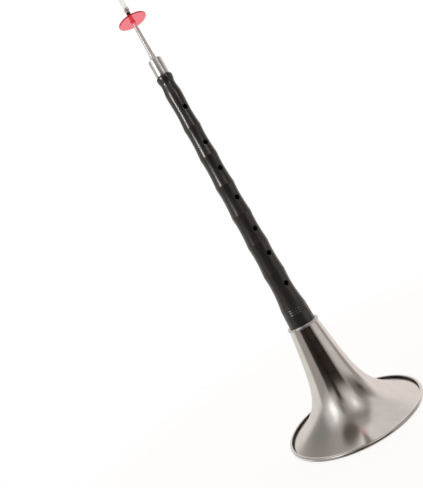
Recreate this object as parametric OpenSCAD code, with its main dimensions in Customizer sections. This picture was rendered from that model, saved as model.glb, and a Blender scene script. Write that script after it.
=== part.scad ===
// Suona: a conical wooden shawm with a double reed and a spun metal bell.
// It stands on its bell. The origin is the centre of the bell's mouth, +Z runs up the
// pipe's axis to the reed, and the finger holes face -Y. All lengths are in millimetres.

/* [Bell] */
// Outer radius of the rolled rim
rim_r = 86.5; // [80:0.5:95]
// Radius of the rim's roll
bead_r = 2.2; // [2:0.1:3]
// Thickness of the spun sheet
sheet_t = 0.8; // [0.6:0.05:0.9]
// Height of the bell's neck, to the top of its ring
neck_z = 129.5; // [126:0.5:132]
// Outer radius that the neck's cone would have at that height
cone_r = 18.2; // [18:0.1:18.8]
// How much the cone widens for each millimetre downwards
cone_slope = 0.135; // [0.13:0.001:0.14]
// How far the flare adds to the cone's radius at the mouth
flare_r = 49.9; // [49.4:0.1:50.2]
// Height over which the flare dies away by a factor of e, near the mouth
flare_h = 21; // [20:0.5:22]
// Height at which the flare starts to die away faster
flare_end_h = 80; // [76:1:90]

/* [Neck ring] */
// Outer radius of the neck ring
ring_r = 19.9; // [19.6:0.1:21]
// Height of the neck ring's flange
ring_h = 3.2; // [2.8:0.1:4]
// How far the neck ring's sleeve reaches down inside the neck
ring_sleeve_h = 7; // [5:0.5:8]

/* [Pipe] */
// Height of the pipe's top face
pipe_top_z = 467.5; // [465:0.5:470]
// Height of the pipe's lower end, inside the bell
pipe_end_z = 108; // [105:1:112]
// Outer radius where the bell's neck ring grips the pipe
seat_r = 16.5; // [16.2:0.1:16.6]
// Height of the lowest ridge
ridge_z = 198; // [196:1:200]
// Distance from one ridge to the next
ridge_pitch = 40; // [39:0.5:41]
// Number of evenly spaced ridges
ridge_count = 6; // [6:1:6]
// Depth of the waists between ridges
waist_depth = 1.1; // [0.6:0.1:1.4]
// Radius of the finger holes and the thumb hole
hole_r = 3.2; // [2.8:0.1:3.6]

/* [Tuning core] */
// Radius of the barrel that stands on the pipe
barrel_r = 8.55; // [8.2:0.05:9]
// Height of the barrel
barrel_h = 21.8; // [18:0.1:24]
// How far the core reaches down into the pipe
stem_h = 33; // [30:1:36]

/* [Staple, disc and reed] */
// Radius of the lip disc
disc_r = 18; // [16:0.1:20]
// Height of the middle of the lip disc's plate
disc_z = 543.4; // [543:0.1:545]
// Thickness of the lip disc's plate
disc_t = 1.6; // [1.5:0.1:2.5]
// Radius of the staple tube below its taper
tube_r = 3; // [2.9:0.01:3.02]
// Radius of the staple tube at its tip
tip_r = 1.95; // [1.9:0.01:2]
// Width of the reed at its tip
reed_w = 9; // [7:0.5:10]
// Height of the reed's tip
reed_tip_z = 579; // [575:1:584]

/* [Hidden] */
$fn = 96;
eps = 0.01;              // overlap that makes a cut clean
slide_gap = 0.05;        // radial clearance of pieces that slide or turn on each other

// Bell
bead_x = rim_r - bead_r;             // radius of the circle that the roll runs along
bead_z = bead_r - 0.1;               // the roll is flattened by 0.1 where the bell stands
wire_r = bead_r - sheet_t - 0.12;
wire_gap = 0.02;
ring_foot_z = neck_z - ring_h;       // the neck's straight end goes up into the ring from here
neck_out_r = bell_r(ring_foot_z);
neck_in_r = neck_out_r - sheet_t;
sheet_top_z = neck_z - 1.4;
sheet_end_z = 0.68;                  // the sheet runs into the roll at this height
bell_steps = 44;

// Neck ring
ring_edge_r = 1.2;                   // radius of the flange's rounded edges
ring_bore_r = seat_r + 2 * slide_gap;
ring_groove_r = 0.35;                // a fine groove runs round the flange's edge
ring_sleeve_z = neck_z - ring_sleeve_h;

// Pipe
seat_top_z = neck_z + 0.5;
foot_r = 17.5;                       // the foot below the seat stops the bell slipping off
foot_z = pipe_end_z + 3;
shoulder_z = 151.5;
shoulder_r = 15.9;
shoulder_h = 4.6;
shoulder_step = 0.7;
ridge_r = 13.7;
ridge_slope = 0.01475;
waist_drop = 17.5;                   // from each ridge down to the waist under it
top_waist_z = 417;
top_ridge_z = 442.6;
top_ridge_r = 10.1;
throat_z = 456;
throat_r = 8.8;
lip_z = pipe_top_z - 2.7;
lip_r = 10.2;
lip_round = 1.5;
wave_steps = 8;                      // bands between a ridge and its waist
groove_count = 4;
groove_z = 145.4;
groove_pitch = 2.8;
groove_r = 0.65;
bore_end_r = 11;
bore_top_r = 4.7;
hole_heights = [182, 223, 256, 298.5, 338.5, 373.5, 422];
thumb_hole_z = 399;

// Socket that lines the pipe's top
socket_out_r = 6.3;
socket_in_r = 5.85;
socket_z = pipe_top_z - 39;
flange_r = 8.1;
flange_h = 0.6;

// Tuning core
barrel_z = pipe_top_z + flange_h + slide_gap;
barrel_top_z = barrel_z + barrel_h;
barrel_round = 1;
barrel_chamfer = 0.3;
stem_r = 5.25;
stem_bore_r = 3.5;
stem_z = barrel_z - stem_h;
seal_r = 0.7;                        // radius of a sealing ring's section
seal_x = socket_in_r - slide_gap - seal_r;
seal_pitch = 12;
seal_z = stem_z + 6;
seal_groove_h = 1.6;
taper_top_r = 4.2;
taper_end_r = 3.7;
taper_end_z = barrel_z - 1;

// Staple
base_z = barrel_top_z + slide_gap;
base_r = 4.45;
base_rim_h = 0.6;
flare_top_z = base_z + 7;
base_neck_r = 3.3;
plug_z = taper_end_z + 1.5;
plug_top_r = 3.65;
plug_end_r = 3.3;
plug_bore_r = 2.3;
tube_z = base_z - 6;
tube_taper_z = 500;
tip_z = 561;
tube_wall = 0.45;
thread_margin = 1.5;                 // bare metal above and below the winding

// Lip disc
disc_edge_r = 0.7;                   // radius of the plate's rounded edges
hub_r = 2.75;
hub_below = 3.6;
hub_above = 6.7;

// Stop sleeve, above the disc on the staple tube
sleeve_z = disc_z + hub_above + 2 * slide_gap;
sleeve_h = 4.7;
sleeve_r = 2.45;

// Reed
reed_z = sleeve_z + sleeve_h + slide_gap;
root_r = 2.7;
root_h = tip_z - reed_z + 1.4;
reed_tip_t = 1.5;
reed_wall = 0.45;
fan_ease = 0.4;                      // lets the closing planes meet the round foot gently
wire_turn_r = 0.3;
wire_turns = 3;
wire_z = reed_z + 2;

// ---------- Curves ----------

// Straight line through (z0, r0) and (z1, r1), taken at height z
function line_r(z, z0, r0, z1, r1) = r0 + (r1 - r0) * (z - z0) / (z1 - z0);

// Smooth step from r0 to r1 that is level at both ends
function ease_r(z, z0, r0, z1, r1) = r0 + (r1 - r0) * (1 - cos(180 * (z - z0) / (z1 - z0))) / 2;

// Outer radius of the bell's sheet: a cone, plus a flare that dies away upwards
function flare(z) = flare_r * exp(-z / flare_h - pow(z / flare_end_h, 2));
function bell_r(z) = cone_r + cone_slope * (neck_z - z) + flare(z);
function bell_slope(z) = -cone_slope - flare(z) * (1 / flare_h + 2 * z / pow(flare_end_h, 2));

// Heights along the bell, closest together at the mouth
function bell_height(i) = sheet_end_z + (ring_foot_z - sheet_end_z) * pow(i / bell_steps, 1.8);

// A point of the sheet's inside, one sheet thickness in from the outside
function bell_inner(z) = let (m = bell_slope(z), n = sqrt(1 + m * m))
    [bell_r(z) - sheet_t / n, z + sheet_t * m / n];

// Outer radius of the staple tube
function tube_out_r(z) = z < tube_taper_z ? tube_r : line_r(z, tube_taper_z, tube_r, tip_z, tip_r);

// ---------- Pipe outline ----------

function crest_z(i) = ridge_z + i * ridge_pitch;
function crest_r(z) = ridge_r - ridge_slope * (z - ridge_z);
function last_crest_z() = crest_z(ridge_count - 1);

// Depth below the crest line, t running from 0 in a waist to 1 on a ridge
function dip(t) = waist_depth * (1 - t * t);

// The wave from a ridge up to the next one, through the waist between them
function wave(z0, z_waist, z1) = [
    for (i = [0:wave_steps - 1])
        let (t = 1 - i / wave_steps, z = z_waist - t * (z_waist - z0)) [crest_r(z) - dip(t), z],
    for (i = [0:wave_steps - 1])
        let (t = i / wave_steps, z = z_waist + t * (z1 - z_waist)) [crest_r(z) - dip(t), z]
];

// A smooth stretch of the outline from one height to another
function ease_points(z0, r0, z1, r1) = [
    for (i = [0:wave_steps - 1])
        let (z = z0 + (z1 - z0) * i / wave_steps) [ease_r(z, z0, r0, z1, r1), z]
];

low_waist_z = crest_z(0) - waist_drop;
low_waist_r = crest_r(low_waist_z) - waist_depth;
top_waist_r = crest_r(top_waist_z) - waist_depth;

foot_points = [
    [bore_end_r, pipe_end_z],
    [foot_r - 0.6, pipe_end_z],
    [foot_r, pipe_end_z + 0.6],
    [foot_r, foot_z],
    [seat_r, ring_sleeve_z - 1],
    [seat_r, seat_top_z],
    [shoulder_r, shoulder_z],
];

// The cove from the shoulder up to the lowest waist
cove_points = [
    for (i = [0:wave_steps - 1])
        let (t = 1 - i / wave_steps, z = low_waist_z - t * (low_waist_z - shoulder_z - shoulder_h))
        [low_waist_r + (shoulder_r - shoulder_step - low_waist_r) * pow(t, 1.6), z]
];

low_wave_points = [
    for (i = [0:wave_steps - 1])
        let (t = i / wave_steps, z = low_waist_z + t * waist_drop) [crest_r(z) - dip(t), z]
];

mid_wave_points = [
    for (i = [0:ridge_count - 2]) each wave(crest_z(i), crest_z(i + 1) - waist_drop, crest_z(i + 1))
];

// From the last even ridge down into the top waist
top_fall_points = [
    for (i = [0:wave_steps - 1])
        let (t = 1 - i / wave_steps, z = top_waist_z - t * (top_waist_z - last_crest_z()))
        [crest_r(z) - dip(t), z]
];

lip_points = [
    for (i = [0:6])
        let (a = 15 * i) [lip_r - lip_round * (1 - cos(a)), pipe_top_z - lip_round * (1 - sin(a))]
];

pipe_points = concat(
    foot_points,
    cove_points,
    low_wave_points,
    mid_wave_points,
    top_fall_points,
    ease_points(top_waist_z, top_waist_r, top_ridge_z, top_ridge_r),
    ease_points(top_ridge_z, top_ridge_r, throat_z, throat_r),
    ease_points(throat_z, throat_r, lip_z, lip_r),
    lip_points,
    [[socket_out_r, pipe_top_z], [socket_out_r, socket_z], [bore_top_r, socket_z]]
);

// ---------- Pipe ----------

module tone_hole(z, turn) {
    translate([0, 0, z])
        rotate([90, 0, turn])
            cylinder(h = 2 * seat_r, r = hole_r);
}

module wood_pipe() {
    color([0.16, 0.15, 0.16])
    difference() {
        rotate_extrude()
            difference() {
                polygon(pipe_points);
                for (i = [0:groove_count - 1])
                    let (z = groove_z + i * groove_pitch)
                        translate([line_r(z, seat_top_z, seat_r, shoulder_z, shoulder_r) + 0.2, z])
                            circle(r = groove_r, $fn = 32);
            }
        for (z = hole_heights)
            tone_hole(z, 0);
        tone_hole(thumb_hole_z, 180);
    }
}

module pipe_socket() {
    color([0.78, 0.76, 0.74])
    rotate_extrude()
        polygon([
            [socket_in_r, socket_z],
            [socket_out_r, socket_z],
            [socket_out_r, pipe_top_z],
            [flange_r, pipe_top_z],
            [flange_r, pipe_top_z + flange_h],
            [socket_in_r, pipe_top_z + flange_h],
        ]);
}

// ---------- Bell ----------

module bell_section() {
    heights = [for (i = [0:bell_steps]) bell_height(i)];
    outside = [for (z = heights) [bell_r(z), z]];
    inside = [for (i = [bell_steps:-1:0]) bell_inner(heights[i])];
    neck = [[neck_out_r, sheet_top_z], [neck_in_r, sheet_top_z]];
    difference() {
        union() {
            polygon(concat(outside, neck, inside));
            translate([bead_x, bead_z])
                circle(r = bead_r, $fn = 64);
        }
        translate([bead_x, bead_z])
            circle(r = wire_r + wire_gap, $fn = 64);
        translate([0, -bead_r])
            square([rim_r, bead_r]);
    }
}

module bell() {
    color([0.80, 0.77, 0.75])
    rotate_extrude($fn = 192)
        bell_section();
}

// A flat ring in section, from an inner to an outer radius, with both outer edges rounded
module round_edged(inner, outer, low, high, edge) {
    for (z = [low + edge, high - edge])
        translate([outer - edge, z])
            circle(r = edge, $fn = 48);
    translate([inner, low + edge])
        square([outer - inner, high - low - 2 * edge]);
    translate([inner, low])
        square([outer - edge - inner, high - low]);
}

module neck_ring() {
    color([0.90, 0.89, 0.88])
    rotate_extrude()
        difference() {
            union() {
                round_edged(ring_bore_r, ring_r, ring_foot_z, neck_z, ring_edge_r);
                translate([ring_bore_r, ring_sleeve_z])
                    square([neck_in_r - ring_bore_r, ring_sleeve_h]);
            }
            translate([neck_in_r, ring_foot_z - eps])
                square([sheet_t, sheet_top_z - ring_foot_z + eps]);
            translate([ring_r, neck_z - ring_h / 2])
                circle(r = ring_groove_r, $fn = 32);
        }
}

module rim_wire() {
    color([0.22, 0.19, 0.17])
    rotate_extrude($fn = 192)
        translate([bead_x, bead_z])
            circle(r = wire_r, $fn = 64);
}

// ---------- Tuning core ----------

module core_outline() {
    round_x = barrel_r - barrel_round;
    top_round = [
        for (i = [0:6])
            let (a = 15 * i) [round_x + barrel_round * cos(a), barrel_top_z - barrel_round * (1 - sin(a))]
    ];
    polygon(concat(
        [
            [stem_bore_r, stem_z],
            [stem_r, stem_z],
            [stem_r, barrel_z],
            [barrel_r - barrel_chamfer, barrel_z],
            [barrel_r, barrel_z + barrel_chamfer],
        ],
        top_round,
        [
            [taper_top_r, barrel_top_z],
            [taper_end_r, taper_end_z],
            [stem_bore_r, taper_end_z],
        ]
    ));
}

module tuning_core() {
    color([0.82, 0.80, 0.79])
    rotate_extrude()
        difference() {
            core_outline();
            for (i = [0:1])
                translate([seal_x - seal_r, seal_z + i * seal_pitch - seal_groove_h / 2])
                    square([stem_r, seal_groove_h]);
        }
}

module core_rings() {
    color([0.12, 0.12, 0.12])
    for (i = [0:1])
        rotate_extrude()
            translate([seal_x, seal_z + i * seal_pitch])
                circle(r = seal_r - eps, $fn = 32);
}

// ---------- Staple ----------

module staple_base() {
    flare = [
        for (i = [0:8])
            let (t = i / 8, z = base_z + base_rim_h + t * (flare_top_z - base_z - base_rim_h))
            [base_neck_r + (base_r - base_neck_r) * pow(1 - t, 2.2), z]
    ];
    color([0.84, 0.81, 0.79])
    rotate_extrude()
        polygon(concat(
            [
                [plug_bore_r, plug_z],
                [plug_end_r, plug_z],
                [plug_top_r, base_z],
                [base_r, base_z],
            ],
            flare,
            [
                [tube_r, flare_top_z],
                [tube_r, tube_z],
                [plug_bore_r, tube_z],
            ]
        ));
}

module staple_tube() {
    color([0.80, 0.78, 0.77])
    rotate_extrude()
        polygon([
            [tube_r - tube_wall, tube_z],
            [tube_r, tube_z],
            [tube_r, tube_taper_z],
            [tip_r, tip_z],
            [tip_r - tube_wall, tip_z],
            [tube_r - tube_wall, tube_taper_z],
        ]);
}

function plug_r(z) = line_r(z, plug_z, plug_end_r, base_z, plug_top_r);
function taper_r(z) = line_r(z, taper_end_z, taper_end_r, barrel_top_z, taper_top_r);

module staple_thread() {
    low = plug_z + thread_margin;
    high = base_z - thread_margin;
    color([0.90, 0.86, 0.76])
    rotate_extrude()
        polygon([
            [plug_r(low), low],
            [taper_r(low) - slide_gap, low],
            [taper_r(high) - slide_gap, high],
            [plug_r(high), high],
        ]);
}

// ---------- Lip disc ----------

module air_disc() {
    low = disc_z - hub_below;
    high = disc_z + hub_above;
    color([0.93, 0.35, 0.40, 0.7])
    rotate_extrude()
        difference() {
            union() {
                round_edged(0, disc_r, disc_z - disc_t / 2, disc_z + disc_t / 2, disc_edge_r);
                translate([0, low])
                    square([hub_r, high - low]);
            }
            polygon([
                [0, low - 1],
                [tube_out_r(low - 1) + slide_gap, low - 1],
                [tube_out_r(high + 1) + slide_gap, high + 1],
                [0, high + 1],
            ]);
        }
}

// ---------- Reed ----------

module tip_bore(z0, z1) {
    rotate_extrude()
        polygon([
            [0, z0],
            [tube_out_r(z0) + slide_gap, z0],
            [tube_out_r(z1) + slide_gap, z1],
            [0, z1],
        ]);
}

module stop_sleeve() {
    color([0.10, 0.10, 0.10])
    difference() {
        translate([0, 0, sleeve_z])
            cylinder(h = sleeve_h, r = sleeve_r);
        tip_bore(sleeve_z - 1, reed_z + 1);
    }
}

// A fan, round at its foot and flat at its tip: a widening cone between two closing planes
module reed_fan(r0, r1, t1, z0, z1) {
    half0 = r0 + fan_ease;
    intersection() {
        translate([0, 0, z0])
            cylinder(h = z1 - z0, r1 = r0, r2 = r1);
        rotate([90, 0, 90])
            linear_extrude(height = 4 * r1, center = true)
                polygon([[-half0, z0], [half0, z0], [t1 / 2, z1], [-t1 / 2, z1]]);
    }
}

module reed() {
    fan_z = reed_z + root_h;
    bore_r = tube_out_r(tip_z) + slide_gap;
    color([0.96, 0.96, 0.94, 0.6])
    difference() {
        union() {
            translate([0, 0, reed_z])
                cylinder(h = root_h, r = root_r);
            reed_fan(root_r, reed_w / 2, reed_tip_t, fan_z, reed_tip_z);
        }
        tip_bore(reed_z - 1, tip_z);
        translate([0, 0, tip_z - eps])
            cylinder(h = fan_z - tip_z + 2 * eps, r = bore_r);
        reed_fan(bore_r, reed_w / 2 - reed_wall, reed_tip_t - 2 * reed_wall, fan_z, reed_tip_z + eps);
    }
}

module reed_wire() {
    color([0.80, 0.52, 0.38])
    for (i = [0:wire_turns - 1])
        rotate_extrude()
            translate([root_r + wire_turn_r + eps, wire_z + i * (2 * wire_turn_r + eps)])
                circle(r = wire_turn_r, $fn = 24);
}

wood_pipe();
pipe_socket();
bell();
neck_ring();
rim_wire();
tuning_core();
core_rings();
staple_base();
staple_tube();
staple_thread();
stop_sleeve();
air_disc();
reed();
reed_wire();
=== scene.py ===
"""Suona: the looks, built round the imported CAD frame.

Outlines and sizes are in millimetres, in the row frame: +Z runs up the pipe, the finger holes face -Y
and the bell stands on z = 0. The mesh builders turn millimetres into Blender's metres.
"""
import math
import bpy
from mathutils import Matrix, Vector


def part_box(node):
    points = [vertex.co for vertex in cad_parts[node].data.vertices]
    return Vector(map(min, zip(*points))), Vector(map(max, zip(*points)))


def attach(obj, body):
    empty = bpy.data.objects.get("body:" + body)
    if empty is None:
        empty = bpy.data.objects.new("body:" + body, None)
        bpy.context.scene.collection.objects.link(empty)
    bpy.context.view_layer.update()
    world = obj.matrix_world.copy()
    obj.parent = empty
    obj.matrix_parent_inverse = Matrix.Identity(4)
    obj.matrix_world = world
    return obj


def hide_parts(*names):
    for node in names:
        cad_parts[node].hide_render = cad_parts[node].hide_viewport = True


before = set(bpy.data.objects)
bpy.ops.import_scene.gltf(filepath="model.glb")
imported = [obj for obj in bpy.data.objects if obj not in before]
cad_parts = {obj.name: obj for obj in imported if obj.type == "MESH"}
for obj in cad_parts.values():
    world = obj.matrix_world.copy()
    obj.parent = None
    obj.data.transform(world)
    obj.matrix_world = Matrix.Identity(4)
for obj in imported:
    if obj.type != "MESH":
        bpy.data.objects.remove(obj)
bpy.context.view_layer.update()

MM = 0.001                          # one millimetre in metres


# ---------- Sizes, from the frame ----------

def extent(node):
    """A round node's outer radius, lowest height and highest height, in millimetres."""
    low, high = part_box(node)
    return high.x / MM, low.z / MM, high.z / MM


rim_radius, _, _ = extent("bell")
ring_radius, ring_sleeve_low, neck_top = extent("neck_ring")
_, pipe_low, pipe_top = extent("wood_pipe")
flange_radius, socket_low, socket_top = extent("pipe_socket")
barrel_radius, stem_low, barrel_top = extent("tuning_core")
base_radius, plug_low, base_top = extent("staple_base")
tube_radius, tube_low, tube_tip = extent("staple_tube")
_, thread_low, thread_high = extent("staple_thread")
disc_radius, hub_low, hub_high = extent("air_disc")
sleeve_radius, sleeve_low, sleeve_high = extent("stop_sleeve")
reed_half_width, reed_low, reed_tip = extent("reed")
wire_outer, wire_low, wire_high = extent("reed_wire")


# ---------- Outlines ----------

def span(start, end, steps):
    """Evenly spaced numbers from start to end, both included."""
    return [start + (end - start) * i / steps for i in range(steps + 1)]


def line(value, x0, y0, x1, y1):
    """The straight line through (x0, y0) and (x1, y1), taken at value."""
    return y0 + (y1 - y0) * (value - x0) / (x1 - x0)


def ease(value, x0, y0, x1, y1):
    """A smooth step from y0 to y1 that is level at both ends."""
    return y0 + (y1 - y0) * (1 - math.cos(math.pi * (value - x0) / (x1 - x0))) / 2


def arc(centre, radius, start, end, steps):
    """Points along an arc in the (radius, height) plane, angles in degrees."""
    return [
        (centre[0] + radius * math.cos(math.radians(a)), centre[1] + radius * math.sin(math.radians(a)))
        for a in span(start, end, steps)
    ]


def fillet(points, radius, steps=4, least_turn=12):
    """Rounds every corner of a closed outline that turns by more than least_turn degrees."""
    made = []
    count = len(points)
    for i, point in enumerate(points):
        corner = Vector(point)
        before = Vector(points[i - 1]) - corner
        after = Vector(points[(i + 1) % count]) - corner
        turn = 180 - math.degrees(before.angle(after))
        if turn < least_turn:
            made.append(point)
            continue
        reach = min(radius * math.tan(math.radians(turn / 2)), 0.45 * before.length, 0.45 * after.length)
        first = corner + before.normalized() * reach
        last = corner + after.normalized() * reach
        for t in span(0, 1, steps):
            mid = first.lerp(corner, t).lerp(corner.lerp(last, t), t)
            made.append((mid.x, mid.y))
    return made


# ---------- Mesh builders ----------

def new_piece(name, vertices, faces, sharp_angle=35):
    """A smooth-shaded mesh object from points in millimetres."""
    mesh = bpy.data.meshes.new(name)
    mesh.from_pydata([Vector(v) * MM for v in vertices], [], faces)
    mesh.validate()
    mesh.polygons.foreach_set("use_smooth", [True] * len(mesh.polygons))
    mesh.set_sharp_from_angle(angle=math.radians(sharp_angle))
    piece = bpy.data.objects.new(name, mesh)
    bpy.context.scene.collection.objects.link(piece)
    return piece


def round_point(radius, degrees, height):
    """The point at this radius, angle and height."""
    return (radius * math.cos(math.radians(degrees)), radius * math.sin(math.radians(degrees)), height)


def closed_faces(rows, columns):
    """Quads over a grid of vertices that closes on itself both ways."""
    faces = []
    for i in range(rows):
        low, high = i * columns, (i + 1) % rows * columns
        for j in range(columns):
            right = (j + 1) % columns
            faces.append((low + j, low + right, high + right, high + j))
    return faces


def lathe(name, outline, columns):
    """Turns a closed (radius, height) outline, given anticlockwise, about the Z axis."""
    vertices = [round_point(r, 360 * j / columns, z) for r, z in outline for j in range(columns)]
    return new_piece(name, vertices, closed_faces(len(outline), columns))


def sweep(name, path, radius, sides=10):
    """A round wire along a path of points, with closed ends."""
    points = [Vector(p) for p in path]
    vertices = []
    normal = Vector((0, 0, 1))
    for i, point in enumerate(points):
        ahead = (points[min(i + 1, len(points) - 1)] - points[max(i - 1, 0)]).normalized()
        normal = (normal - ahead * normal.dot(ahead)).normalized()
        across = ahead.cross(normal)
        for k in range(sides):
            turn = 2 * math.pi * k / sides
            vertices.append(point + (normal * math.cos(turn) + across * math.sin(turn)) * radius)
    end = (len(points) - 1) * sides
    faces = [
        (low + k, low + (k + 1) % sides, low + sides + (k + 1) % sides, low + sides + k)
        for low in range(0, end, sides) for k in range(sides)
    ]
    faces.append(tuple(range(sides))[::-1])
    faces.append(tuple(range(end, end + sides)))
    return new_piece(name, vertices, faces)


def fit(piece, body, node, material):
    """Gives a piece its material and its body, and hides the CAD node it stands for."""
    piece.data.materials.append(material)
    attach(piece, body)
    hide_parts(node)
    return piece


# ---------- Bell ----------

SHEET = 0.8                         # thickness of the spun sheet
BEAD_RADIUS = 2.2                   # the rim is rolled round a wire
BEAD_INSIDE = 1.32
BEAD_HEIGHT = BEAD_RADIUS - 0.1     # the roll is flattened where the bell stands
ROLL_MEETS = -112                   # degrees: where the sheet runs into the roll
ROLL_ENDS = 106                     # degrees: the roll's edge stops here, and the wire shows below it
CONE_RADIUS = 18.2                  # of the neck's cone, at the neck's top
CONE_SLOPE = 0.135
FLARE_RADIUS = 49.9                 # how far the flare stands outside the cone at the mouth
FLARE_HEIGHT = 21.0                 # the flare dies away by a factor of e over this height
FLARE_END = 80.0                    # above this height it dies away much faster
SHEET_START = 1.05                  # height at which the sheet leaves the roll
ROW_CROWDING = 1.8                  # the sheet's rows are closer together towards the mouth
RING_HEIGHT = 3.2
RING_BORE = 16.6
RING_EDGE = 0.9                     # rounding of the flange's edges
SHEET_DROP = 1.4                    # the sheet's edge is this far below the ring's top
ring_foot = neck_top - RING_HEIGHT
sheet_top = neck_top - SHEET_DROP


def flare(z):
    """How far the sheet stands outside the neck's cone at height z."""
    return FLARE_RADIUS * math.exp(-z / FLARE_HEIGHT - (z / FLARE_END) ** 2)


def bell_radius(z):
    """Outer radius of the sheet: a cone, and a flare that dies away upwards."""
    return CONE_RADIUS + CONE_SLOPE * (neck_top - z) + flare(z)


def bell_inner(z):
    """The point of the sheet's inside that faces its outside at height z."""
    slope = -CONE_SLOPE - flare(z) * (1 / FLARE_HEIGHT + 2 * z / FLARE_END ** 2)
    length = math.hypot(1, slope)
    return bell_radius(z) - SHEET / length, max(z + SHEET * slope / length, 0)


def bell_outline():
    """One sheet with an inside and an outside, rolled outwards at the mouth."""
    bead = (rim_radius - BEAD_RADIUS, BEAD_HEIGHT)
    heights = [SHEET_START + (ring_foot - SHEET_START) * t ** ROW_CROWDING for t in span(0, 1, 120)]
    neck_out = bell_radius(ring_foot)
    inside = [bell_inner(z) for z in reversed(heights)]
    roll_out = [(r, max(z, 0)) for r, z in arc(bead, BEAD_RADIUS, ROLL_MEETS, ROLL_ENDS, 44)]
    middle = (BEAD_RADIUS + BEAD_INSIDE) / 2
    edge = (BEAD_RADIUS - BEAD_INSIDE) / 2
    nose = arc(arc(bead, middle, ROLL_ENDS, ROLL_ENDS, 1)[0], edge, ROLL_ENDS, ROLL_ENDS + 180, 6)[1:-1]
    roll_in = nose + arc(bead, BEAD_INSIDE, ROLL_ENDS, ROLL_MEETS, 36)
    outside = [(bell_radius(z), z) for z in heights]
    top_in, top_out = (neck_out - SHEET, sheet_top), (neck_out, sheet_top)
    return [top_in] + inside + roll_out + roll_in + outside + [top_out]


def ring_outline():
    """The flange that shows above the neck, with its groove, and the sleeve that holds the sheet."""
    neck_out = bell_radius(ring_foot)
    neck_in = neck_out - SHEET
    flange = ring_radius - RING_EDGE
    groove = neck_top - 0.45 * RING_HEIGHT
    groove_half, groove_round, groove_in = 0.4, 0.32, 0.6    # half width, floor's radius and its depth
    bevel, bore_round = 0.1, 0.3
    return (
        [(RING_BORE, ring_sleeve_low), (neck_in, ring_sleeve_low), (neck_in, sheet_top),
         (neck_out, sheet_top), (neck_out, ring_foot)]
        + arc((flange, ring_foot + RING_EDGE), RING_EDGE, -90, 0, 8)
        + [(ring_radius, groove - groove_half - bevel), (ring_radius - bevel, groove - groove_half)]
        + arc((ring_radius - groove_in, groove), groove_round, 270, 90, 8)
        + [(ring_radius - bevel, groove + groove_half), (ring_radius, groove + groove_half + bevel)]
        + arc((flange, neck_top - RING_EDGE), RING_EDGE, 0, 90, 8)
        + arc((RING_BORE + bore_round, neck_top - bore_round), bore_round, 90, 180, 4)
    )


# ---------- Pipe ----------

FOOT_RADIUS = 17.5
FOOT_HEIGHT = 3                     # the foot is straight up to here, and then narrows to the seat
FOOT_EDGE = 0.6                     # rounding of the foot's lower edge
SEAT_RADIUS = 16.5
SEAT_TOP = neck_top + 0.5
SHOULDER = (15.9, 151.5)            # radius, height
COVE_START = (15.2, 156.1)
COVE_CURVE = 1.6                    # how quickly the cove falls to the first waist
LOW_GROOVE = 145.4
GROOVE_PITCH = 2.8
GROOVES = [LOW_GROOVE + GROOVE_PITCH * i for i in range(4)]
GROOVE_HALF = 0.65                  # half the width of a groove
GROOVE_SLOPE = 0.34                 # steepness of its two sides
LOW_RIDGE = 198.0
RIDGE_PITCH = 40.0
RIDGES = [LOW_RIDGE + RIDGE_PITCH * i for i in range(6)]
RIDGE_REACH = 1.2                   # the mesh has finer rows this far from a ridge
CREST_RADIUS = 13.7                 # at the lowest ridge
CREST_SLOPE = 0.01475
WAIST_DROP = 17.5                   # from a ridge down to the waist below it
WAIST_DEPTH = 1.1
RIDGE_ROUND = 0.07                  # share of a wave over which its crest is rounded
TOP_WAIST = 417.0
TOP_RIDGE = (10.1, 442.6)
THROAT = (8.8, 456.0)
LIP = (10.2, 464.8)
LIP_ROUND = 1.5
BORE_END = 11.0
BORE_TOP = 4.7
SOCKET_RADIUS = 6.3
HOLE_RADIUS = 3.2
HOLE_EDGE = 0.45                    # rounding of the holes' edges
HOLE_ROUNDING = ((0.5, 0.13), (0.13, 0.5), (0, 1))   # its points, out from the hole and down, in shares
FINGER_HOLES = [182, 223, 256, 298.5, 338.5, 373.5, 422]
THUMB_HOLE = 399

PIPE_COLUMNS = 96
BLOCK_COLUMNS = 14                  # half the width of the patch round a hole, in columns
BLOCK_HEIGHT = 5                    # half the height of that patch


def crest_radius(z):
    """The cone that the ridges touch."""
    return CREST_RADIUS - CREST_SLOPE * (z - LOW_RIDGE)


def wave(share):
    """Depth below the crest line, share running from 0 in a waist to 1 on a ridge."""
    blunt = 1 - RIDGE_ROUND
    if share > blunt:
        over = share - blunt
        rise = blunt ** 2 + 2 * blunt * over - blunt * over ** 2 / RIDGE_ROUND
    else:
        rise = share ** 2
    return WAIST_DEPTH * (1 - rise)


def groove_depth(z):
    """How far the turned grooves cut in at height z."""
    return max([0] + [GROOVE_SLOPE * (GROOVE_HALF - abs(z - centre)) for centre in GROOVES])


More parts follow.
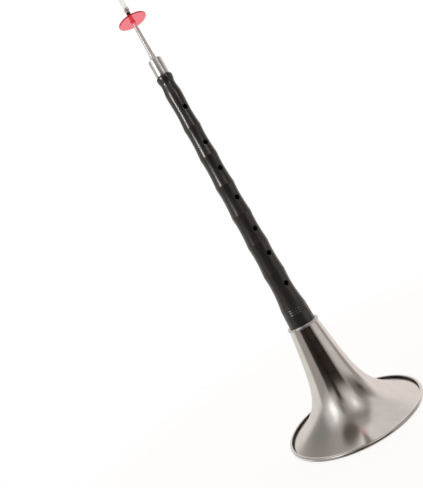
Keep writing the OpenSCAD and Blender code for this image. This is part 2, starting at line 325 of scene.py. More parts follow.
def pipe_radius(z):
    """Outer radius of the pipe's wood between the seat and the lip."""
    low_waist = LOW_RIDGE - WAIST_DROP
    if z <= SEAT_TOP:
        return SEAT_RADIUS
    if z <= SHOULDER[1]:
        return line(z, SEAT_TOP, SEAT_RADIUS, SHOULDER[1], SHOULDER[0]) - groove_depth(z)
    if z <= COVE_START[1]:
        return line(z, SHOULDER[1], SHOULDER[0], COVE_START[1], COVE_START[0])
    if z <= low_waist:
        waist = crest_radius(low_waist) - WAIST_DEPTH
        share = (low_waist - z) / (low_waist - COVE_START[1])
        return waist + (COVE_START[0] - waist) * share ** COVE_CURVE
    if z <= RIDGES[-1]:
        up = (z - LOW_RIDGE) % RIDGE_PITCH
        rest = RIDGE_PITCH - WAIST_DROP
        share = 1 - up / rest if up < rest else (up - rest) / WAIST_DROP
        return crest_radius(z) - wave(share)
    if z <= TOP_WAIST:
        return crest_radius(z) - wave((TOP_WAIST - z) / (TOP_WAIST - RIDGES[-1]))
    if z <= TOP_RIDGE[1]:
        return ease(z, TOP_WAIST, crest_radius(TOP_WAIST) - WAIST_DEPTH, TOP_RIDGE[1], TOP_RIDGE[0])
    if z <= THROAT[1]:
        return ease(z, TOP_RIDGE[1], TOP_RIDGE[0], THROAT[1], THROAT[0])
    return ease(z, THROAT[1], THROAT[0], LIP[1], LIP[0])


def bore_radius(z):
    """Radius of the pipe's conical bore at height z."""
    return line(z, pipe_low, BORE_END, socket_low, BORE_TOP)


def block_heights(centre):
    """Heights of the rows that the patch round a hole covers."""
    return span(centre - BLOCK_HEIGHT, centre + BLOCK_HEIGHT, 2 * BLOCK_HEIGHT)


def row_heights(start, end, step, kept, clear):
    """The kept heights, and even ones between them that stay clear of them."""
    even = span(start, end, round((end - start) / step))
    return sorted([z for z in even if all(abs(z - k) > clear for k in kept)] + kept)


def pipe_rows():
    """(radius, height) of each row of the wood's outside, from its foot to its lip."""
    kept = [SEAT_TOP, SHOULDER[1], COVE_START[1]]
    groove_reach = GROOVE_HALF + 0.01
    block_clear = 0.2
    for z in GROOVES:
        kept += span(z - groove_reach, z + groove_reach, 12)
    for z in RIDGES:
        kept += span(z - RIDGE_REACH, z + RIDGE_REACH, 6)
    for z in FINGER_HOLES + [THUMB_HOLE]:
        block = block_heights(z)
        kept = [k for k in kept if not block[0] - block_clear < k < block[-1] + block_clear] + block
    heights = row_heights(SEAT_TOP, LIP[1], step=1.0, kept=kept, clear=0.45)
    foot = [
        (FOOT_RADIUS - FOOT_EDGE, pipe_low),
        (FOOT_RADIUS - 0.3 * FOOT_EDGE, pipe_low + 0.3 * FOOT_EDGE),
        (FOOT_RADIUS, pipe_low + FOOT_EDGE),
        (FOOT_RADIUS, pipe_low + FOOT_HEIGHT),
        (SEAT_RADIUS, ring_sleeve_low - 1),     # the seat starts just below the ring's sleeve
    ]
    lip = arc((LIP[0] - LIP_ROUND, pipe_top - LIP_ROUND), LIP_ROUND, 0, 90, 8)
    return foot + [(pipe_radius(z), z) for z in heights] + lip + [(SOCKET_RADIUS, pipe_top)]


def bore_rows():
    """(radius, height) of each row of the bore, from its lower end to the socket's seat."""
    kept = []
    for z in FINGER_HOLES + [THUMB_HOLE]:
        kept += block_heights(z)
    heights = row_heights(pipe_low, socket_low, step=8.0, kept=kept, clear=1.0)
    return [(bore_radius(z), z) for z in heights] + [(SOCKET_RADIUS, socket_low)]


class Skin:
    """A turned surface with round holes through it, as rows and columns of quads."""

    def __init__(self):
        self.vertices = []
        self.faces = []

    def add(self, radius, degrees, height):
        """Adds a vertex and gives its number."""
        self.vertices.append(round_point(radius, degrees, height))
        return len(self.vertices) - 1

    def quad(self, a, b, c, d, inward):
        """A face that looks outwards, or inwards for a bore."""
        self.faces.append((d, c, b, a) if inward else (a, b, c, d))

    def turn(self, rows, holes, radius_at, inward, rings):
        """Adds the rows, with a hole at each (height, column). Gives the grid and the holes' inner loops."""
        grid = [
            [self.add(r, 360 * j / PIPE_COLUMNS, z) for j in range(PIPE_COLUMNS)]
            for r, z in rows
        ]
        blocks = []
        for height, column in holes:
            inside = [i for i, row in enumerate(rows) if abs(row[1] - height) < BLOCK_HEIGHT + 0.01]
            blocks.append((inside[0], inside[-1], column))
        for i in range(len(rows) - 1):
            for j in range(PIPE_COLUMNS):
                if any(low <= i < high and (j - column + BLOCK_COLUMNS) % PIPE_COLUMNS < 2 * BLOCK_COLUMNS
                       for low, high, column in blocks):
                    continue
                right = (j + 1) % PIPE_COLUMNS
                self.quad(grid[i][j], grid[i][right], grid[i + 1][right], grid[i + 1][j], inward)
        return grid, [
            self.open_hole(grid, rows, block, height, radius_at, inward, rings)
            for block, (height, _) in zip(blocks, holes)
        ]

    def open_hole(self, grid, rows, block, height, radius_at, inward, rings):
        """Fills a block with rings that run from its edge to the hole's round edge."""
        low, high, column = block
        steps = range(-BLOCK_COLUMNS, BLOCK_COLUMNS)
        climb = range(low, high)
        edge = [(low, j) for j in steps] + [(i, BLOCK_COLUMNS) for i in climb]
        edge += [(high, -j) for j in steps] + [(low + high - i, -BLOCK_COLUMNS) for i in climb]
        loop = [grid[i][(column + j) % PIPE_COLUMNS] for i, j in edge]
        middle = 360 * column / PIPE_COLUMNS
        starts = [(360 * j / PIPE_COLUMNS, rows[i][1] - height) for i, j in edge]
        turns = [math.atan2(z / BLOCK_HEIGHT, a / (360 * BLOCK_COLUMNS / PIPE_COLUMNS)) for a, z in starts]
        spread = HOLE_RADIUS + (0 if inward else HOLE_EDGE)

        def on_hole(turn, reach):
            """Angle and height of the surface point at a distance from the hole's axis."""
            across, up = reach * math.cos(turn), reach * math.sin(turn)
            return math.degrees(math.asin(across / radius_at(height + up))), up

        for share in span(0, 1, rings)[1:]:
            made = []
            for (a, z), turn in zip(starts, turns):
                goal_a, goal_z = on_hole(turn, spread)
                angle, up = a + (goal_a - a) * share, z + (goal_z - z) * share
                made.append(self.add(radius_at(height + up), middle + angle, height + up))
            self.join(loop, made, inward)
            loop = made
        if not inward:
            for reach, depth in HOLE_ROUNDING:
                made = []
                for turn in turns:
                    distance = HOLE_RADIUS + HOLE_EDGE * reach
                    across, up = distance * math.cos(turn), distance * math.sin(turn)
                    along = math.sqrt(radius_at(height + up) ** 2 - across ** 2) - HOLE_EDGE * depth
                    made.append(self.add(math.hypot(across, along),
                                         middle + math.degrees(math.atan2(across, along)), height + up))
                self.join(loop, made, inward)
                loop = made
        return loop

    def join(self, outer, inner, inward):
        """Fills the band between two loops of as many vertices."""
        count = len(outer)
        for k in range(count):
            after = (k + 1) % count
            self.quad(outer[k], outer[after], inner[after], inner[k], inward)


def pipe_piece():
    """The wooden pipe: its outside, its bore, and the holes that join them."""
    skin = Skin()
    finger, thumb = PIPE_COLUMNS * 3 // 4, PIPE_COLUMNS // 4
    holes = [(z, finger) for z in FINGER_HOLES] + [(THUMB_HOLE, thumb)]
    outer, outer_loops = skin.turn(pipe_rows(), holes, pipe_radius, False, 6)
    inner, inner_loops = skin.turn(bore_rows(), holes, bore_radius, True, 4)
    for near, far in zip(outer_loops, inner_loops):
        skin.join(near, far, False)
    skin.join(inner[0], outer[0], False)
    skin.join(outer[-1], inner[-1], False)
    return new_piece("pipe_wood", skin.vertices, skin.faces, 32)


# ---------- Socket, tuning core and staple ----------

def socket_outline():
    """The sleeve in the pipe's top, with the flange that rests on the wood."""
    inside = 5.85
    return fillet([
        (inside, socket_low), (SOCKET_RADIUS, socket_low), (SOCKET_RADIUS, pipe_top),
        (flange_radius, pipe_top), (flange_radius, socket_top), (inside, socket_top),
    ], 0.2)


def core_outline():
    """The barrel, and the stem that reaches down into the pipe with its two ring grooves."""
    stem, bore = 5.25, 3.5
    groove_floor, groove_height = 4.4, 1.6
    barrel_low = stem_low + 33
    barrel_round, bevel = 1.0, 0.3
    taper_top, taper_foot, taper_low = 4.2, 3.7, barrel_low - 1
    points = [(bore, stem_low), (stem, stem_low)]
    for z in (stem_low + 6, stem_low + 18):
        low, high = z - groove_height / 2, z + groove_height / 2
        points += [(stem, low), (groove_floor, low), (groove_floor, high), (stem, high)]
    points += [(stem, barrel_low), (barrel_radius - bevel, barrel_low), (barrel_radius, barrel_low + bevel)]
    points += arc((barrel_radius - barrel_round, barrel_top - barrel_round), barrel_round, 0, 90, 10)
    points += [(taper_top, barrel_top), (taper_foot, taper_low), (bore, taper_low)]
    return fillet(points, 0.12, 3, 25)


def base_outline():
    """The flared foot of the staple, and the plug below it that the thread is wound on."""
    rim, neck = 0.6, 3.3
    plug_bore, plug_foot, plug_head = 2.3, 3.3, 3.65
    seat = base_top - 7
    curve = 2.2                         # the shoulder's hollow, like a trumpet's
    bevel = 0.15
    skirt = [
        (neck + (base_radius - neck) * (1 - t) ** curve, seat + rim + t * (base_top - seat - rim))
        for t in span(0, 1, 24)
    ]
    corners = [(plug_bore, plug_low), (plug_foot, plug_low), (plug_head, seat), (base_radius, seat)]
    plug = fillet(corners, bevel)[:-1]
    foot = [(base_radius - 0.1, seat)] + arc((base_radius - bevel, seat + bevel), bevel, -60, 0, 3)
    inside = [(tube_radius, base_top), (tube_radius, tube_low), (plug_bore, tube_low)]
    return plug + foot + skirt + [(neck - 0.06, base_top)] + inside


TUBE_TAPER = 500.0                  # height at which the tube starts to narrow
TUBE_WALL = 0.45
TIP_RADIUS = 1.95


def tube_outside(z):
    """Outer radius of the tube at height z."""
    return min(line(z, TUBE_TAPER, tube_radius, tube_tip, TIP_RADIUS), tube_radius)


def tube_outline():
    """A straight lower end and a long taper, with the tip's edge broken."""
    taper = [(tube_outside(z), z) for z in span(TUBE_TAPER, tube_tip, 24)[:-1]]
    tip = [(TIP_RADIUS, tube_tip - 0.15), (TIP_RADIUS - 0.12, tube_tip)]
    inside = [(TIP_RADIUS - TUBE_WALL, tube_tip), (tube_radius - TUBE_WALL, TUBE_TAPER),
              (tube_radius - TUBE_WALL, tube_low)]
    return [(tube_radius, tube_low)] + taper + tip + inside


def thread_outline():
    """Close turns of thread on the plug, each one a half round."""
    turns = 28
    inner_low, inner_high = 3.33, 3.62
    outer_low, outer_high = 3.68, 4.12
    bulge = 0.12
    pitch = (thread_high - thread_low) / turns
    outside = []
    for k in range(turns):
        for t in span(0, 1, 5)[:-1]:
            z = thread_low + (k + t) * pitch
            valley = line(z, thread_low, outer_low, thread_high, outer_high) - bulge
            outside.append((valley + bulge * math.sin(math.pi * t), z))
    top = [(outer_high - bulge, thread_high), (inner_high, thread_high)]
    return [(inner_low, thread_low)] + outside + top


# ---------- Lip disc and sleeve ----------

DISC_HEIGHT = 543.4
DISC_THICKNESS = 1.6
DISC_EDGE = 0.7
HUB_RADIUS = 2.75
SLIDE_GAP = 0.05                    # between the tube and what slides on it


def disc_outline():
    """A flat plate with a rounded edge, and a hub that runs on above and below it."""
    low, high = DISC_HEIGHT - DISC_THICKNESS / 2, DISC_HEIGHT + DISC_THICKNESS / 2
    rim = disc_radius - DISC_EDGE
    flat = 2                            # the plate's faces have a row this far in from their edges
    blend = 0.35                        # rounding between the hub and the plate
    lip = 0.25                          # rounding of the hub's ends
    return (
        [(tube_outside(hub_low) + SLIDE_GAP, hub_low)]
        + arc((HUB_RADIUS - lip, hub_low + lip), lip, -90, 0, 4)
        + arc((HUB_RADIUS + blend, low - blend), blend, 180, 90, 4)
        + [(HUB_RADIUS + flat, low), (rim - flat, low)]
        + arc((rim, low + DISC_EDGE), DISC_EDGE, -90, 0, 8)
        + arc((rim, high - DISC_EDGE), DISC_EDGE, 0, 90, 8)
        + [(rim - flat, high), (HUB_RADIUS + flat, high)]
        + arc((HUB_RADIUS + blend, high + blend), blend, -90, -180, 4)
        + arc((HUB_RADIUS - lip, hub_high - lip), lip, 0, 90, 4)
        + [(tube_outside(hub_high) + SLIDE_GAP, hub_high)]
    )


def sleeve_outline():
    """A short sleeve that fits the tube's taper."""
    return fillet([
        (tube_outside(sleeve_low) + SLIDE_GAP, sleeve_low),
        (sleeve_radius, sleeve_low),
        (sleeve_radius, sleeve_high),
        (tube_outside(sleeve_high) + SLIDE_GAP, sleeve_high),
    ], 0.25)


# ---------- Reed ----------

REED_ROOT = 2.7
REED_TIP_THICKNESS = 1.5
REED_WALL = 0.45
REED_EDGE = 0.12                    # bevel at the reed's foot
REED_ROUND = 0.9                    # how far the tip's corners are rounded down
REED_PRESS = 1.25                   # above 1, the fan is pressed flat sooner than it widens
REED_COLUMNS = 96
reed_fan = tube_tip + 1.4           # the round root ends here and the fan begins


def oval_row(height, half_x, half_y, tip_share=0):
    """One row of the reed. tip_share says how far its corners are rounded down."""
    row = []
    for turn in span(0, 2 * math.pi, REED_COLUMNS)[:-1]:
        x, y = half_x * math.cos(turn), half_y * math.sin(turn)
        row.append((x, y, height - REED_ROUND * tip_share * abs(x / reed_half_width) ** 5))
    return row


def fan_row(share, foot, wall):
    """A row part of the way up the fan, at the outside or one wall's thickness in from it."""
    widen = foot + (reed_half_width - wall - foot) * share
    press = foot + (REED_TIP_THICKNESS / 2 - wall - foot) * (1 - (1 - share) ** REED_PRESS)
    return oval_row(reed_fan + (reed_tip - reed_fan) * share, widen, press, share ** 3)


def root_row(height, radius):
    """A round row of the reed's root."""
    return oval_row(height, radius, radius)


def reed_piece():
    """A hollow fan: round where it grips the tube, pressed flat at its tip."""
    shares = span(0, 1, 28)[1:]
    rows = [root_row(reed_low, REED_ROOT - REED_EDGE), root_row(reed_low + REED_EDGE, REED_ROOT)]
    rows += [root_row(z, REED_ROOT) for z in span(reed_low + 1, reed_fan, 6)]
    rows += [fan_row(share, REED_ROOT, 0) for share in shares]
    rows += [fan_row(share, TIP_RADIUS + SLIDE_GAP, REED_WALL) for share in reversed(shares)]
    rows += [root_row(z, max(tube_outside(z), TIP_RADIUS) + SLIDE_GAP)
             for z in reversed(span(reed_low, reed_fan, 6))]
    vertices = [point for row in rows for point in row]
    return new_piece("reed_fan", vertices, closed_faces(len(rows), REED_COLUMNS), 40)


WIRE_RADIUS = 0.28
WIRE_INSET = 0.3                    # from the binding's outside to the middle of the wire
WIRE_TURNS = 3
WIRE_END = -60                      # degrees: where the wire's ends leave the reed
STRAND_RADIUS = 0.2                 # of each end, and of the twist they make
STRAND_TWIST = 900                  # degrees that the two ends turn about each other


def wire_piece():
    """Turns of one wire round the reed's root."""
    low, high = wire_low + WIRE_INSET, wire_high - WIRE_INSET
    coil = [
        round_point(wire_outer - WIRE_INSET, 360 * WIRE_TURNS * t + WIRE_END, low + (high - low) * t)
        for t in span(0, 1, 120)
    ]
    return sweep("reed_wire_coil", coil, WIRE_RADIUS)


def wire_tail():
    """The two ends of the wire, twisted together and laid up against the reed."""
    foot, length = wire_high - 0.9, 3.2
    middle = Vector(round_point(wire_outer + 0.1, WIRE_END, 0))
    return [
        sweep(name, [middle + Vector(round_point(STRAND_RADIUS, phase + STRAND_TWIST * t, foot + length * t))
                     for t in span(0, 1, 48)], STRAND_RADIUS, 8)
        for name, phase in (("reed_wire_end_1", 0), ("reed_wire_end_2", 180))
    ]


# ---------- Shader nodes ----------

class Shader:
    """One node tree, with short calls for the nodes that the materials share."""

    def __init__(self, tree):
        self.tree = tree
        tree.nodes.clear()

    def put(self, socket, value):
        """Links a value that is another node's output, and sets any other."""
        if isinstance(value, bpy.types.NodeSocket):
            self.tree.links.new(value, socket)
        elif isinstance(value, tuple) and len(value) == 3 and socket.type == "RGBA":
            socket.default_value = (*value, 1)
        else:
            socket.default_value = value

    def add(self, kind, inputs=None, **settings):
        """A new node of this kind, with its inputs filled in."""
        made = self.tree.nodes.new(kind)
        for name, value in settings.items():
            setattr(made, name, value)
        for name, value in (inputs or {}).items():
            self.put(made.inputs[name], value)
        return made

    def math(self, operation, first, second=0.0):
        return self.add("ShaderNodeMath", {0: first, 1: second}, operation=operation).outputs[0]

    def ramp(self, value, low, high, start=0.0, end=1.0):
        """A smooth change from start to end as value goes from low to high."""
        made = self.add(
            "ShaderNodeMapRange",
            {"Value": value, "From Min": low, "From Max": high, "To Min": start, "To Max": end},
            interpolation_type="SMOOTHSTEP")
        return made.outputs[0]

    def mix(self, share, first, second):
        made = self.add("ShaderNodeMix", {0: share, 6: first, 7: second}, data_type="RGBA")
        return made.outputs[2]

    def separate(self, vector):
        return self.add("ShaderNodeSeparateXYZ", {0: vector}).outputs

    def combine(self, x, y, z):
        return self.add("ShaderNodeCombineXYZ", {0: x, 1: y, 2: z}).outputs[0]

    def noise(self, vector, scale, detail, roughness=0.5):
        made = self.add(
            "ShaderNodeTexNoise",
            {"Vector": vector, "Scale": scale, "Detail": detail, "Roughness": roughness})
        return made.outputs[0]

    def bump(self, height, distance, strength, normal=None):
        inputs = {"Height": height, "Distance": distance, "Strength": strength}
        if normal is not None:
            inputs["Normal"] = normal
        return self.add("ShaderNodeBump", inputs).outputs[0]


class Finish(Shader):
    """A material's nodes: a Principled surface and coordinates in millimetres round the axis."""

    def __init__(self, name):
        self.material = bpy.data.materials.new(name)
        self.material.use_nodes = True
        super().__init__(self.material.node_tree)
        place = self.add("ShaderNodeTexCoord").outputs["Object"]
        scaled = self.add("ShaderNodeVectorMath", {0: place, "Scale": 1 / MM}, operation="SCALE")
        self.place = scaled.outputs[0]
        x, y, self.height = self.separate(self.place)
        square = self.math("ADD", self.math("MULTIPLY", x, x), self.math("MULTIPLY", y, y))
        self.radius = self.math("SQRT", square)
        self.angle = self.math("ARCTAN2", y, x)
        self.surface = self.add("ShaderNodeBsdfPrincipled")
        self.output = self.add("ShaderNodeOutputMaterial", {"Surface": self.surface.outputs[0]})

    def set(self, **values):
        """Sets the surface's inputs, with _ for a space in their names."""
        for name, value in values.items():
            self.put(self.surface.inputs[name.replace("_", " ")], value)

    def show(self, shader):
        """Makes this shader node the material's surface."""
        self.put(self.output.inputs["Surface"], shader.outputs[0])

    def rings(self, pitch):
        """Noise that is the same all the way round the axis, as a lathe tool leaves it."""
        return self.noise(self.combine(0.0, self.radius, self.height), 1 / pitch, 3.0, 0.6)

    def along(self, width, length):
        """Noise drawn out along the axis, as wood grain is."""
        x, y, z = self.separate(self.place)
        squeezed = self.combine(x, y, self.math("MULTIPLY", z, width / length))
        return self.noise(squeezed, 1 / width, 4.0, 0.6)


# ---------- Materials ----------

def turned_metal(name, bright, dull, rough, line_pitch, line_depth, anisotropy=0.0):
    """Polished metal with fine lathe rings, faint smudges and a little wear.

    rough is the roughness of its polished and of its smudged patches.
    """
    made = Finish(name)
    smudge = made.noise(made.place, 0.045, 4.0, 0.6)
    fine = made.rings(line_pitch)
    broad = made.rings(line_pitch * 7)
    specks = made.noise(made.place, 1.3, 2.0)
    patch = made.ramp(smudge, 0.38, 0.66)
    made.set(
        Base_Color=made.mix(patch, bright, dull),
        Metallic=1.0,
        Roughness=made.math("ADD", made.ramp(smudge, 0.3, 0.7, *rough),
                            made.ramp(fine, 0.4, 0.7, 0.0, 0.04)),
        Normal=made.bump(
            specks, 0.004 * MM, 0.25,
            made.bump(broad, line_depth * 4 * MM, 0.3, made.bump(fine, line_depth * MM, 0.8))),
    )
    if anisotropy:
        tangent = made.add("ShaderNodeTangent", direction_type="RADIAL", axis="Z").outputs[0]
        made.set(Anisotropic=anisotropy, Anisotropic_Rotation=0.25, Tangent=tangent)
    return made.material


def black_wood():
    """Black-stained hardwood under a satin lacquer, with the grain just showing."""
    made = Finish("black_wood")
    grain = made.along(0.9, 26)
    pores = made.along(0.28, 7)
    figure = made.along(5, 90)
    stain, worn, brown = (0.019, 0.017, 0.0172), (0.030, 0.0245, 0.0235), (0.034, 0.023, 0.019)
    dark = made.mix(made.ramp(grain, 0.42, 0.66), stain, worn)
    made.set(
        Base_Color=made.mix(made.ramp(figure, 0.5, 0.72), dark, brown),
        Roughness=made.math("ADD", made.ramp(grain, 0.3, 0.7, 0.28, 0.34),
                            made.ramp(pores, 0.55, 0.75, 0.0, 0.08)),
        Specular_IOR_Level=0.62,
        Coat_Weight=0.5,
        Coat_Roughness=0.23,
        Normal=made.bump(pores, -0.008 * MM, 0.22, made.bump(grain, 0.010 * MM, 0.25)),
    )
    return made.material


RED_DEPTH = 460.0                   # how strongly the red plastic absorbs light, for each metre of it


def clear_red():
    """Red plastic that light passes through: the thicker it is, the deeper the red."""
    made = Finish("clear_red_plastic")
    scuff = made.noise(made.place, 0.35, 5.0, 0.7)
    marks = made.rings(0.9)
    made.set(
        Base_Color=(1.0, 0.72, 0.76),
        Transmission_Weight=1.0,
        IOR=1.28,
        Roughness=made.ramp(scuff, 0.45, 0.75, 0.015, 0.11),
        Normal=made.bump(marks, 0.004 * MM, 0.3, made.bump(scuff, 0.006 * MM, 0.3)),
    )
    cloud = made.add("ShaderNodeBsdfTranslucent", {"Color": (1.0, 0.30, 0.33)})
    cloudy = made.add("ShaderNodeMixShader", {0: 0.10, 1: made.surface.outputs[0], 2: cloud.outputs[0]})
    made.show(cloudy)
    clear = made.add("ShaderNodeVolumeAbsorption", {"Color": (0.985, 0.0, 0.10), "Density": RED_DEPTH})
    made.put(made.output.inputs["Volume"], clear.outputs[0])
    return made.material


def milky_plastic():
    """Thin, milky reed plastic: clear where it is seen square on, whiter towards its edges."""
    made = Finish("milky_plastic")
    streak = made.along(0.5, 9)
    made.set(
        Base_Color=made.mix(made.ramp(streak, 0.35, 0.7), (0.95, 0.945, 0.935), (0.90, 0.89, 0.87)),
        Roughness=made.ramp(streak, 0.3, 0.7, 0.3, 0.42),
        Subsurface_Weight=0.6,
        Subsurface_Radius=(0.6 * MM, 0.6 * MM, 0.6 * MM),
        Normal=made.bump(streak, 0.006 * MM, 0.15),
    )
    facing = made.add("ShaderNodeLayerWeight", {"Blend": 0.35}).outputs["Facing"]
    clear = made.add("ShaderNodeBsdfTransparent", {"Color": (0.995, 0.99, 0.985)})
    body = made.math("ADD", made.ramp(facing, 0.0, 1.0, 0.035, 0.26), made.ramp(streak, 0.3, 0.7, 0.0, 0.02))
    milky = made.add("ShaderNodeMixShader", {0: body, 1: clear.outputs[0], 2: made.surface.outputs[0]})
    made.show(milky)
    return made.material


def rubber(name, colour, worn, brown_share):
    """Matt rubber with a fine grain and worn lighter patches."""
    made = Finish(name)
    grain = made.noise(made.place, 5.0, 3.0)
    patch = made.noise(made.place, 0.32, 2.0)
    made.set(
        Base_Color=made.mix(made.ramp(patch, brown_share, brown_share + 0.12), colour, worn),
        Roughness=made.ramp(grain, 0.3, 0.7, 0.48, 0.66),
        Normal=made.bump(grain, 0.03 * MM, 0.5),
    )
    return made.material


def cotton():
    """Waxed cotton: fibres that run round, crossed by the twist."""
    made = Finish("cotton_thread")
    around = made.math("MULTIPLY", made.angle, 4.0)
    twist = made.add("ShaderNodeTexWave", {
        "Vector": made.combine(around, 0.0, made.math("MULTIPLY", made.height, 1.6)),
        "Scale": 2.2, "Distortion": 1.5, "Detail": 2.0}).outputs[1]
    fluff = made.noise(made.place, 9.0, 3.0)
    made.set(
        Base_Color=made.mix(twist, (0.74, 0.66, 0.49), (0.86, 0.80, 0.66)),
        Roughness=made.ramp(fluff, 0.3, 0.7, 0.62, 0.82),
        Sheen_Weight=0.3,
        Normal=made.bump(fluff, 0.05 * MM, 0.5, made.bump(twist, 0.08 * MM, 0.6)),
    )
    return made.material


def copper():
    """Bright copper wire with drawing lines and a little tarnish."""
    made = Finish("copper_wire")
    tarnish = made.noise(made.place, 1.1, 3.0)
    drawn = made.noise(made.place, 14.0, 2.0)
    made.set(
        Base_Color=made.mix(made.ramp(tarnish, 0.45, 0.7), (0.97, 0.78, 0.69), (0.88, 0.62, 0.52)),
        Metallic=1.0,
        Roughness=made.ramp(drawn, 0.3, 0.7, 0.2, 0.36),
        Normal=made.bump(drawn, 0.01 * MM, 0.4),
    )
    return made.material


# ---------- The pieces ----------

def dress_instrument():
    """Makes every piece and its finish. Gives the wooden piece and the small turned metal ones."""
    bell_metal = turned_metal(
        "bell_metal", (0.93, 0.915, 0.90), (0.88, 0.86, 0.84), (0.13, 0.18), 0.33, 0.0012, anisotropy=0.6)
    chrome = turned_metal(
        "ring_chrome", (0.96, 0.955, 0.95), (0.92, 0.915, 0.91), (0.34, 0.39), 0.2, 0.0008)
    core_metal = turned_metal(
        "core_metal", (0.93, 0.92, 0.91), (0.88, 0.87, 0.855), (0.32, 0.36), 0.25, 0.001)
    staple_metal = turned_metal(
        "staple_metal", (0.95, 0.94, 0.93), (0.90, 0.885, 0.87), (0.34, 0.38), 0.22, 0.001)
    socket_metal = turned_metal(
        "socket_metal", (0.80, 0.78, 0.76), (0.70, 0.685, 0.665), (0.16, 0.24), 0.25, 0.0015)
    # The rim wire's metal is near-black brown: painted shade for the dark band inside the rolled rim, where
    # the roll leaves the wire showing.
    painted_shade_wire_metal = turned_metal(
        "wire_steel", (0.13, 0.115, 0.105), (0.07, 0.058, 0.05), (0.4, 0.55), 0.3, 0.002)

    fit(lathe("bell_sheet", bell_outline(), 288), "bell", "bell", bell_metal)
    wood = [fit(pipe_piece(), "pipe", "wood_pipe", black_wood())]
    turned = [
        fit(lathe(name, outline, columns), body, node, material)
        for name, outline, columns, body, node, slot, material in (
            ("bell_neck_ring", ring_outline(), 192, "bell", "neck_ring", "ring_chrome", chrome),
            ("pipe_top_socket", socket_outline(), 96, "pipe", "pipe_socket", "socket_metal", socket_metal),
            ("core_barrel", core_outline(), 128, "tuning_core", "tuning_core", "core_metal", core_metal),
            ("staple_foot", base_outline(), 96, "staple", "staple_base", "staple_metal", staple_metal),
            ("staple_pipe", tube_outline(), 96, "staple", "staple_tube", "staple_metal", staple_metal),
        )
    ]
    fit(lathe("staple_winding", thread_outline(), 72), "staple", "staple_thread", cotton())
    sleeve = rubber("sleeve_rubber", (0.016, 0.014, 0.014), (0.085, 0.055, 0.042), 0.50)
    fit(lathe("disc_stop_sleeve", sleeve_outline(), 72), "staple", "stop_sleeve", sleeve)
    fit(lathe("lip_disc", disc_outline(), 192), "air_disc", "air_disc", clear_red())
    fit(reed_piece(), "reed", "reed", milky_plastic())
    wire = copper()
    fit(wire_piece(), "reed", "reed_wire", wire)
    for end in wire_tail():
        end.data.materials.append(wire)
        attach(end, "reed")
    seals = rubber("seal_rubber", (0.022, 0.022, 0.022), (0.045, 0.043, 0.04), 0.55)
    # The rim wire's near-black brown metal is painted shade for the gap inside the rolled rim.
    for node, material in (("core_rings", seals), ("rim_wire", painted_shade_wire_metal)):
        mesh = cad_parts[node].data
        mesh.materials.clear()
        mesh.materials.append(material)
    return wood, turned


# ---------- Stage: camera, light and floor ----------

CAMERA_TURN = -33.0                 # degrees round the axis from the finger-hole side
CAMERA_DISTANCE = 643.9             # from the instrument's axis
CAMERA_HEIGHT = 267.6
AIM_SIDE = -47.9                    # where the camera looks: to the left of the axis, in its own view
AIM_HEIGHT = 264.5
CAMERA_ROLL = 29.37                 # the instrument leans over in the picture
CAMERA_LENS = 39.55
CAMERA_SENSOR = 36.0
CAMERA_SHIFT = -0.0014


def add_camera():
    """The camera looks from the photograph's side, rolled so that the instrument leans."""
    turn = math.radians(CAMERA_TURN)
    back = Vector((math.sin(turn), -math.cos(turn), 0))
    side = Vector((math.cos(turn), math.sin(turn), 0))
    place = (back * CAMERA_DISTANCE + Vector((0, 0, CAMERA_HEIGHT))) * MM
    aim = (side * AIM_SIDE + Vector((0, 0, AIM_HEIGHT))) * MM
    camera = bpy.data.objects.new("camera", bpy.data.cameras.new("camera"))
    bpy.context.scene.collection.objects.link(camera)
    look = (aim - place).to_track_quat("-Z", "Y").to_matrix()
    roll = Matrix.Rotation(math.radians(-CAMERA_ROLL), 3, "Z")
    camera.matrix_world = Matrix.Translation(place) @ (look @ roll).to_4x4()
    camera.data.sensor_width = CAMERA_SENSOR
    camera.data.lens = CAMERA_LENS
    camera.data.shift_x = CAMERA_SHIFT
    camera.data.clip_start = 0.01
    bpy.context.scene.camera = camera


# Soft cards round the instrument. Each is the azimuth of its middle, half its width, the softness of its
# sides, then the same three for its height, all in degrees, and its colour as light. Azimuth 0 is in front
# of the finger holes and 90 is to their right.
ROOM = (0.31, 0.28, 0.255)
CARDS = [
    (122, 50, 22, 25, 60, 16, (0.76, 0.69, 0.655)),        # pale wall on the right
    (90, 46, 16, 58, 18, 12, (0.61, 0.565, 0.54)),         # its upper part, which comes further forward
    (66, 14, 14, -2, 12, 8, (0.30, 0.26, 0.235)),          # shadow at its foot
    (-178, 50, 14, -8, 26, 12, (0.68, 0.655, 0.61)),       # pale wall on the left, low down
    (-158, 20, 22, 40, 14, 16, (0.22, 0.21, 0.20)),        # its greyer upper part
    (-125, 62, 30, 78, 9, 6, (0.09, 0.068, 0.056)),        # brown shelf overhead
    (-20, 60, 30, 70, 7, 8, (0.21, 0.185, 0.165)),         # grey ceiling
    (-97, 27, 36, 39, 20, 22, (0.63, 0.63, 0.605)),        # glow round the large lamp
    (-91, 11, 16, 36, 12, 14, (1.18, 1.17, 1.14)),         # the large lamp
    (-100, 8, 14, 51, 5, 8, (0.95, 0.94, 0.91)),           # its upper end, which leans back
    (-8, 23, 30, 42, 19, 20, (0.60, 0.565, 0.53)),         # glow round the smaller lamp
    (-7, 8, 14, 47, 6, 14, (1.08, 1.03, 0.98)),            # the smaller lamp
    (-59, 7, 12, 44, 14, 12, (0.19, 0.17, 0.155)),         # gap between the lamps
    (36, 20, 16, -6, 12, 8, (0.56, 0.53, 0.50)),           # pale table edge in front
    (34, 20, 22, 24, 15, 16, (0.15, 0.13, 0.115)),         # grey gap over it
    (43, 9, 14, 21, 5, 9, (0.035, 0.03, 0.026)),           # the gap's dark middle
    (-37, 42, 9, -14, 28, 8, (0.011, 0.0075, 0.006)),      # dark room in front
    (-47, 8, 14, 22, 12, 16, (0.018, 0.0135, 0.011)),      # dark corner between the lamps
]

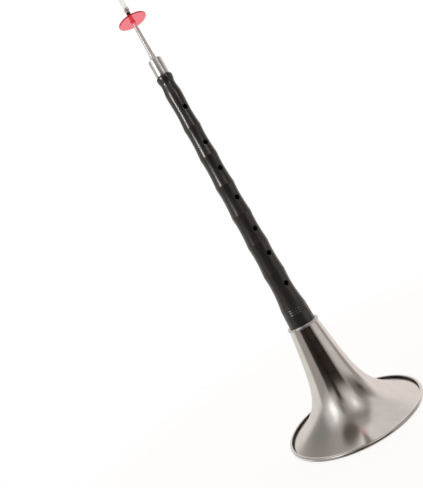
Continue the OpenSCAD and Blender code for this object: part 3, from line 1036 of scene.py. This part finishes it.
# Lamps for the wood's lacquer, and broader ones for the small turned pieces: azimuth in degrees, then
# distance, height, half width and half height in millimetres, and brightness.
WOOD_LAMPS = [
    ("lamp_left", -82, 900, 665, 52, 160, 38.0),
    ("lamp_front", 5, 900, 700, 62, 100, 7.0),
]
TURNED_LAMPS = [
    ("broad_lamp_left", -82, 900, 665, 110, 170, 8.0),
    ("broad_lamp_front", 5, 900, 700, 100, 120, 2.6),
]
LAMP_COLOUR = (1.0, 0.985, 0.96)


def add_light():
    """The cards, as seen in the metals. The camera itself sees plain white round the instrument."""
    world = bpy.data.worlds.new("studio")
    bpy.context.scene.world = world
    world.use_nodes = True
    sky = Shader(world.node_tree)
    x, y, z = sky.separate(sky.add("ShaderNodeTexCoord").outputs["Generated"])
    azimuth = sky.math("DEGREES", sky.math("ARCTAN2", x, sky.math("MULTIPLY", y, -1.0)))
    elevation = sky.math("DEGREES", sky.math("ARCSINE", z))
    light = ROOM
    for middle, half, soft, height, half_height, soft_height, colour in CARDS:
        away = sky.math("SUBTRACT", azimuth, float(middle))
        whole_turns = sky.math("ROUND", sky.math("DIVIDE", away, 360.0))
        away = sky.math("SUBTRACT", away, sky.math("MULTIPLY", 360.0, whole_turns))
        across = sky.ramp(sky.math("ABSOLUTE", away), half - soft / 2, half + soft / 2, 1.0, 0.0)
        level = sky.math("ABSOLUTE", sky.math("SUBTRACT", elevation, float(height)))
        up = sky.ramp(level, half_height - soft_height / 2, half_height + soft_height / 2, 1.0, 0.0)
        light = sky.mix(sky.math("MULTIPLY", across, up), light, colour)
    path = sky.add("ShaderNodeLightPath").outputs
    seen = sky.math("MAXIMUM", path["Is Camera Ray"], path["Is Transmission Ray"])
    shown = sky.mix(seen, light, (1.0, 1.0, 1.0))
    background = sky.add("ShaderNodeBackground", {"Color": shown, "Strength": 1.0})
    sky.add("ShaderNodeOutputWorld", {"Surface": background.outputs[0]})


def add_lamp(lit, name, azimuth, distance, height, half_width, half_height, brightness):
    """An oval lamp turned to the axis, which lights only the pieces in the collection lit."""
    turn = math.radians(azimuth)
    out = Vector((math.sin(turn), -math.cos(turn), 0))
    light = bpy.data.lights.new(name, "AREA")
    light.shape = "ELLIPSE"
    light.size = 2 * half_width * MM
    light.size_y = 2 * half_height * MM
    light.color = LAMP_COLOUR
    area = math.pi * half_width * half_height * MM ** 2
    light.energy = brightness * math.pi * area
    lamp = bpy.data.objects.new(name, light)
    bpy.context.scene.collection.objects.link(lamp)
    place = (out * distance + Vector((0, 0, height))) * MM
    lamp.matrix_world = Matrix.Translation(place) @ out.to_track_quat("Z", "Y").to_matrix().to_4x4()
    lamp.light_linking.receiver_collection = lit


def add_lamps(name, pieces, lamps):
    """Lamps that light only these pieces."""
    lit = bpy.data.collections.new(name)
    for piece in pieces:
        lit.objects.link(piece)
    for values in lamps:
        add_lamp(lit, *values)


FLOOR_RADIUS = 620.0
FLOOR_FADE = 380.0                  # where the floor starts to fade into the backdrop
FLOOR_DROP = 0.02                   # just below the bell's rim
LIGHT_BOUNCES = 28                  # light runs round inside the lip disc


def add_floor():
    """A pale round floor that fades out at its edge and doesn't show in the metals."""
    rings = span(0, FLOOR_RADIUS, 24)[1:]
    columns = 96
    vertices = [(0, 0, 0)] + [round_point(r, 360 * j / columns, 0) for r in rings for j in range(columns)]
    faces = [(0, 1 + j, 1 + (j + 1) % columns) for j in range(columns)]
    for i in range(len(rings) - 1):
        for j in range(columns):
            low, high = 1 + i * columns, 1 + (i + 1) * columns
            right = (j + 1) % columns
            faces.append((low + j, high + j, high + right, low + right))
    floor = new_piece("floor", vertices, faces)
    floor.location.z = -FLOOR_DROP * MM
    made = Finish("pale_floor")
    grain = made.noise(made.place, 0.6, 3.0)
    made.set(Base_Color=(0.42, 0.42, 0.42), Roughness=0.9, Specular_IOR_Level=0.0,
             Emission_Color=(1.0, 1.0, 1.0), Emission_Strength=made.ramp(grain, 0.2, 0.8, 0.79, 0.81))
    clear = made.add("ShaderNodeBsdfTransparent")
    fade = made.ramp(made.radius, FLOOR_FADE, FLOOR_RADIUS)
    blend = made.add("ShaderNodeMixShader", {0: fade, 1: made.surface.outputs[0], 2: clear.outputs[0]})
    made.show(blend)
    floor.data.materials.append(made.material)
    floor.visible_glossy = False


wood_pieces, turned_pieces = dress_instrument()
add_camera()
add_light()
add_lamps("lamplit_wood", wood_pieces, WOOD_LAMPS)
add_lamps("lamplit_metal", turned_pieces, TURNED_LAMPS)
add_floor()
bpy.context.scene.view_settings.view_transform = "Standard"
bpy.context.scene.cycles.use_denoising = True
bpy.context.scene.cycles.max_bounces = LIGHT_BOUNCES
bpy.context.scene.cycles.transmission_bounces = LIGHT_BOUNCES
